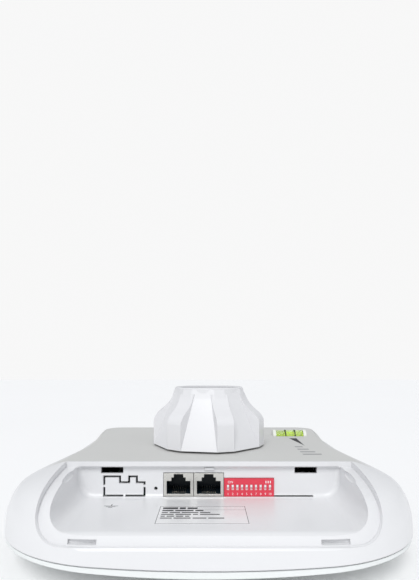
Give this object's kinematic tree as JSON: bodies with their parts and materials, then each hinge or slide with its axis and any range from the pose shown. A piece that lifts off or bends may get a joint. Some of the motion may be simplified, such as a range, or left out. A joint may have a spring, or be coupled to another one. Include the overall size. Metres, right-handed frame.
{
  "type": "outdoor wireless bridge",
  "caption": "Flat outdoor wireless bridge with a domed radome, an open connector bay and a screw-down ball mount collar on its back.",
  "frame": {"origin": "middle of the outline, on the surface that the radome rests on", "axes": "+Z out of the back plate along the mount collar's axis, -Y towards the cable end, +X to the right seen from the cable end with the back plate up"},
  "size_m": [0.2122, 0.2122, 0.086],
  "materials": {
    "radome_white": "matte, UV-stable, fine moulded texture",
    "shell_white": "satin gloss, moulded",
    "collar_white": "satin, moulded facets",
    "socket_grey": "matte, glass-filled nylon",
    "seal_rubber": "matte",
    "screw_steel": "zinc plated",
    "vial_clear": "clear moulded",
    "vial_fluid": "tinted fluid",
    "vial_cap": "moulded",
    "ring_black": "printed",
    "label_film": "printed film",
    "switch_red": "moulded, printed",
    "slider_white": "moulded",
    "pin_tin": "tinned",
    "insert_black": "moulded",
    "board_green": "solder mask",
    "chip_black": "moulded epoxy",
    "plate_aluminium": "brushed",
    "led_clear": "clear epoxy",
    "contact_gold": "gold flashed",
    "antenna_laminate": "glass-fibre laminate",
    "nylon_white": "natural nylon",
    "patch_copper": "etched copper",
    "shield_nickel": "nickel plated sheet",
    "cable_jacket": "smooth"
  },
  "bodies": {
    "housing": {"front_radome": "radome_white", "housing_gasket": "seal_rubber", "rear_housing": "shell_white", "ball_socket": "socket_grey", "threaded_sleeve": "socket_grey", "socket_screws": "screw_steel", "vial_tube": "vial_clear", "vial_fluid": "vial_fluid", "vial_end_caps": "vial_cap", "vial_rings": "ring_black", "rating_label": "label_film", "dip_body": "switch_red", "dip_pins": "pin_tin", "reset_switch": "insert_black", "main_board": "board_green", "rf_shield_can": "pin_tin", "processor": "chip_black", "heat_spreader": "plate_aluminium", "memory_chips": "chip_black", "lan_transformers": "chip_black", "capacitors": "plate_aluminium", "power_inductor": "chip_black", "status_leds": "led_clear", "antenna_sockets": "contact_gold", "reflector_plate": "plate_aluminium", "antenna_board": "antenna_laminate", "antenna_spacers": "nylon_white", "patch_elements": "patch_copper", "board_screws": "screw_steel", "reflector_screws": "screw_steel", "jack_shield_1": "shield_nickel", "jack_shield_2": "shield_nickel", "jack_insert_1": "insert_black", "jack_insert_2": "insert_black", "jack_contacts_1": "contact_gold", "jack_contacts_2": "contact_gold", "feed_cable_1": "cable_jacket", "feed_cable_2": "cable_jacket"},
    "clamp_ring": {"clamp_ring": "socket_grey"},
    "collar": {"lock_collar": "collar_white", "collar_insert": "socket_grey"},
    "slider_01": {"dip_slider_01": "slider_white"},
    "slider_02": {"dip_slider_02": "slider_white"},
    "slider_03": {"dip_slider_03": "slider_white"},
    "slider_04": {"dip_slider_04": "slider_white"},
    "slider_05": {"dip_slider_05": "slider_white"},
    "slider_06": {"dip_slider_06": "slider_white"},
    "slider_07": {"dip_slider_07": "slider_white"},
    "slider_08": {"dip_slider_08": "slider_white"},
    "slider_09": {"dip_slider_09": "slider_white"},
    "slider_10": {"dip_slider_10": "slider_white"},
    "reset_plunger": {"reset_plunger": "insert_black"}
  },
  "joints": [
    {"name": "ring_lift", "type": "slide", "parent": "housing", "child": "clamp_ring", "axis": [0, 0, 1], "range_m": [-0.001, 0.0115]},
    {"name": "collar_turn", "type": "hinge", "parent": "clamp_ring", "child": "collar", "pos_m": [0, 0, 0.062], "axis": [0, 0, 1], "range_deg": [-80, 990]},
    {"name": "switch_01", "type": "slide", "parent": "housing", "child": "slider_01", "axis": [0, 0, 1], "range_m": [-0.0016, 0]},
    {"name": "switch_02", "type": "slide", "parent": "housing", "child": "slider_02", "axis": [0, 0, 1], "range_m": [-0.0016, 0]},
    {"name": "switch_03", "type": "slide", "parent": "housing", "child": "slider_03", "axis": [0, 0, 1], "range_m": [-0.0016, 0]},
    {"name": "switch_04", "type": "slide", "parent": "housing", "child": "slider_04", "axis": [0, 0, 1], "range_m": [-0.0016, 0]},
    {"name": "switch_05", "type": "slide", "parent": "housing", "child": "slider_05", "axis": [0, 0, 1], "range_m": [-0.0016, 0]},
    {"name": "switch_06", "type": "slide", "parent": "housing", "child": "slider_06", "axis": [0, 0, 1], "range_m": [-0.0016, 0]},
    {"name": "switch_07", "type": "slide", "parent": "housing", "child": "slider_07", "axis": [0, 0, 1], "range_m": [-0.0016, 0]},
    {"name": "switch_08", "type": "slide", "parent": "housing", "child": "slider_08", "axis": [0, 0, 1], "range_m": [-0.0016, 0]},
    {"name": "switch_09", "type": "slide", "parent": "housing", "child": "slider_09", "axis": [0, 0, 1], "range_m": [-0.0016, 0]},
    {"name": "switch_10", "type": "slide", "parent": "housing", "child": "slider_10", "axis": [0, 0, 1], "range_m": [-0.0016, 0]},
    {"name": "reset_press", "type": "slide", "parent": "housing", "child": "reset_plunger", "axis": [0, 1, 0], "range_m": [0, 0.0004], "stiffness_N_per_m": 600, "springref_m": -0.0002}
  ],
  "couplings": [
    {"joint": "ring_lift", "follows": "collar_turn", "m_per_rad": 0.00063662}
  ]
}
